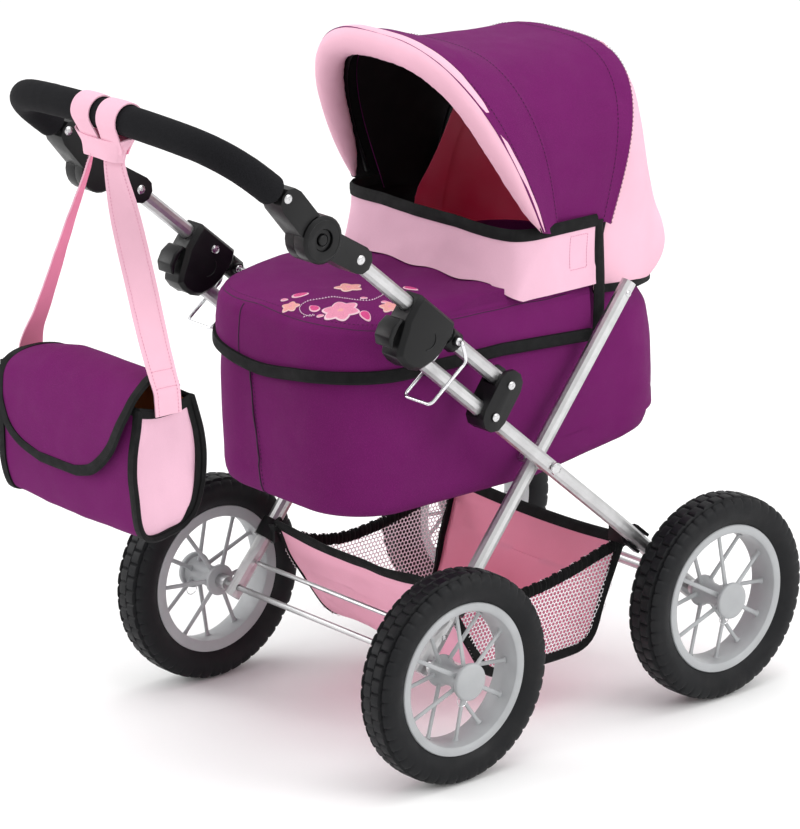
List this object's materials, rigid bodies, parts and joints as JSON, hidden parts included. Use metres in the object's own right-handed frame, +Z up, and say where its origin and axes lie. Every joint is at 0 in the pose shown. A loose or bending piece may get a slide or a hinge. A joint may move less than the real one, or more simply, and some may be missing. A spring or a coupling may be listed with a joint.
{
  "type": "doll stroller",
  "caption": "Doll stroller: crossed-leg tube frame that folds, hooded carrycot with cover, height-tilting foam grip, under-basket, hanging shoulder bag, spoked wheels.",
  "frame": {"origin": "on the floor under the middle of the object's bounding box", "axes": "+Z up; +Y towards the hood end, the way the stroller is pushed; +X to its right-hand side"},
  "size_m": [0.3558, 0.635, 0.574],
  "materials": {
    "steel_tube": "satin silver",
    "chrome_wire": "polished",
    "black_plastic": "fine matte texture",
    "grey_plastic": "moulded satin",
    "tyre_rubber": "matte",
    "grip_foam": "closed-cell foam",
    "purple_fabric": "plain weave",
    "pink_fabric": "plain weave",
    "cot_board": "covered board"
  },
  "bodies": {
    "chassis": {"front_leg_right": "steel_tube", "front_leg_left": "steel_tube", "handle_bracket_right": "black_plastic", "handle_bracket_left": "black_plastic", "cross_rivet_right": "steel_tube", "cross_rivet_left": "steel_tube", "front_basket_clip_right": "black_plastic", "front_basket_clip_left": "black_plastic", "front_axle": "steel_tube", "front_brace": "steel_tube", "cot_tub": "purple_fabric", "cot_mattress": "cot_board", "cot_cover": "purple_fabric", "cover_flap": "pink_fabric", "hood_back_panel": "pink_fabric", "basket": "pink_fabric"},
    "rear_frame": {"rear_leg_right": "steel_tube", "rear_leg_left": "steel_tube", "rear_basket_clip_right": "black_plastic", "rear_basket_clip_left": "black_plastic", "rear_axle": "steel_tube", "rear_brace": "steel_tube"},
    "handle": {"handle_tube_right": "steel_tube", "handle_tube_left": "steel_tube", "lock_body_right": "black_plastic", "lock_body_left": "black_plastic", "bail_clip_right": "black_plastic", "bail_clip_left": "black_plastic", "lower_knuckle_right": "black_plastic", "lower_knuckle_left": "black_plastic"},
    "grip": {"upper_knuckle_right": "black_plastic", "upper_knuckle_left": "black_plastic", "grip_bow": "steel_tube", "grip_foam": "grip_foam"},
    "lever_right": {"lock_lever_right": "black_plastic"},
    "bail_right": {"wire_bail_right": "chrome_wire"},
    "button_right": {"tilt_button_right": "black_plastic"},
    "lever_left": {"lock_lever_left": "black_plastic"},
    "bail_left": {"wire_bail_left": "chrome_wire"},
    "button_left": {"tilt_button_left": "black_plastic"},
    "loops": {"bag_loops": "pink_fabric"},
    "bag": {"bag_shell": "purple_fabric", "bag_strap_right": "pink_fabric", "bag_strap_left": "pink_fabric"},
    "flap": {"bag_flap": "purple_fabric"},
    "hood_front": {"hood_front_section": "pink_fabric"},
    "hood_rear": {"hood_rear_gore": "purple_fabric"},
    "wheel_body_front_right": {"tyre_front_right": "tyre_rubber", "wheel_front_right": "grey_plastic", "axle_cap_front_right": "grey_plastic"},
    "wheel_body_front_left": {"tyre_front_left": "tyre_rubber", "wheel_front_left": "grey_plastic", "axle_cap_front_left": "grey_plastic"},
    "wheel_body_rear_right": {"tyre_rear_right": "tyre_rubber", "wheel_rear_right": "grey_plastic", "axle_cap_rear_right": "grey_plastic"},
    "wheel_body_rear_left": {"tyre_rear_left": "tyre_rubber", "wheel_rear_left": "grey_plastic", "axle_cap_rear_left": "grey_plastic"}
  },
  "joints": [
    {"name": "frame_fold", "type": "hinge", "parent": "chassis", "child": "rear_frame", "pos_m": [0, 0.0602, 0.2314], "axis": [1, 0, 0], "range_deg": [0, 37], "deforming": ["basket"]},
    {"name": "handle_fold", "type": "hinge", "parent": "chassis", "child": "handle", "pos_m": [0, 0.0075, 0.3128], "axis": [1, 0, 0], "range_deg": [-9, 0]},
    {"name": "grip_tilt", "type": "hinge", "parent": "handle", "child": "grip", "pos_m": [0, -0.1855, 0.467], "axis": [1, 0, 0], "range_deg": [-30, 60]},
    {"name": "lock_lever_right", "type": "hinge", "parent": "handle", "child": "lever_right", "pos_m": [0, -0.10295, 0.38763], "axis": [1, 0, 0], "range_deg": [0, 8], "stiffness_Nm_per_rad": 0.1, "springref_deg": -2.86},
    {"name": "bail_swing_right", "type": "hinge", "parent": "handle", "child": "bail_right", "pos_m": [0, -0.0478, 0.3599], "axis": [1, 0, 0], "range_deg": [-12, 12]},
    {"name": "tilt_button_right", "type": "slide", "parent": "handle", "child": "button_right", "axis": [-1, 0, 0], "range_m": [0, 0.003], "stiffness_N_per_m": 400, "springref_m": -0.001},
    {"name": "lock_lever_left", "type": "hinge", "parent": "handle", "child": "lever_left", "pos_m": [0, -0.10295, 0.38763], "axis": [1, 0, 0], "range_deg": [0, 8], "stiffness_Nm_per_rad": 0.1, "springref_deg": -2.86},
    {"name": "bail_swing_left", "type": "hinge", "parent": "handle", "child": "bail_left", "pos_m": [0, -0.0478, 0.3599], "axis": [1, 0, 0], "range_deg": [-12, 12]},
    {"name": "tilt_button_left", "type": "slide", "parent": "handle", "child": "button_left", "axis": [1, 0, 0], "range_m": [0, 0.003], "stiffness_N_per_m": 400, "springref_m": -0.001},
    {"name": "loops_turn", "type": "hinge", "parent": "grip", "child": "loops", "pos_m": [0, -0.27629, 0.5517], "axis": [1, 0, 0], "range_deg": [-60, 30]},
    {"name": "bag_swing", "type": "hinge", "parent": "loops", "child": "bag", "pos_m": [0, -0.27629, 0.516], "axis": [1, 0, 0], "range_deg": [-20, 5]},
    {"name": "bag_flap_lift", "type": "hinge", "parent": "bag", "child": "flap", "pos_m": [0, -0.2545, 0.343], "axis": [1, 0, 0], "range_deg": [-16, 0]},
    {"name": "hood_front_fold", "type": "hinge", "parent": "chassis", "child": "hood_front", "pos_m": [0, 0.1205, 0.315], "axis": [1, 0, 0], "range_deg": [-75, 0], "deforming": ["hood_rear_gore"]},
    {"name": "hood_rear_fold", "type": "hinge", "parent": "chassis", "child": "hood_rear", "pos_m": [0, 0.1205, 0.315], "axis": [1, 0, 0], "range_deg": [-34, 0]},
    {"name": "wheel_spin_front_right", "type": "hinge", "parent": "chassis", "child": "wheel_body_front_right", "pos_m": [0.157, 0.23, 0.0875], "axis": [1, 0, 0], "continuous": true},
    {"name": "wheel_spin_front_left", "type": "hinge", "parent": "chassis", "child": "wheel_body_front_left", "pos_m": [-0.157, 0.23, 0.0875], "axis": [1, 0, 0], "continuous": true},
    {"name": "wheel_spin_rear_right", "type": "hinge", "parent": "rear_frame", "child": "wheel_body_rear_right", "pos_m": [0.157, -0.059, 0.0875], "axis": [1, 0, 0], "continuous": true},
    {"name": "wheel_spin_rear_left", "type": "hinge", "parent": "rear_frame", "child": "wheel_body_rear_left", "pos_m": [-0.157, -0.059, 0.0875], "axis": [1, 0, 0], "continuous": true}
  ],
  "couplings": [
    {"joint": "loops_turn", "follows": "grip_tilt", "ratio": -1},
    {"joint": "hood_rear_fold", "follows": "hood_front_fold", "ratio": 0.45}
  ]
}
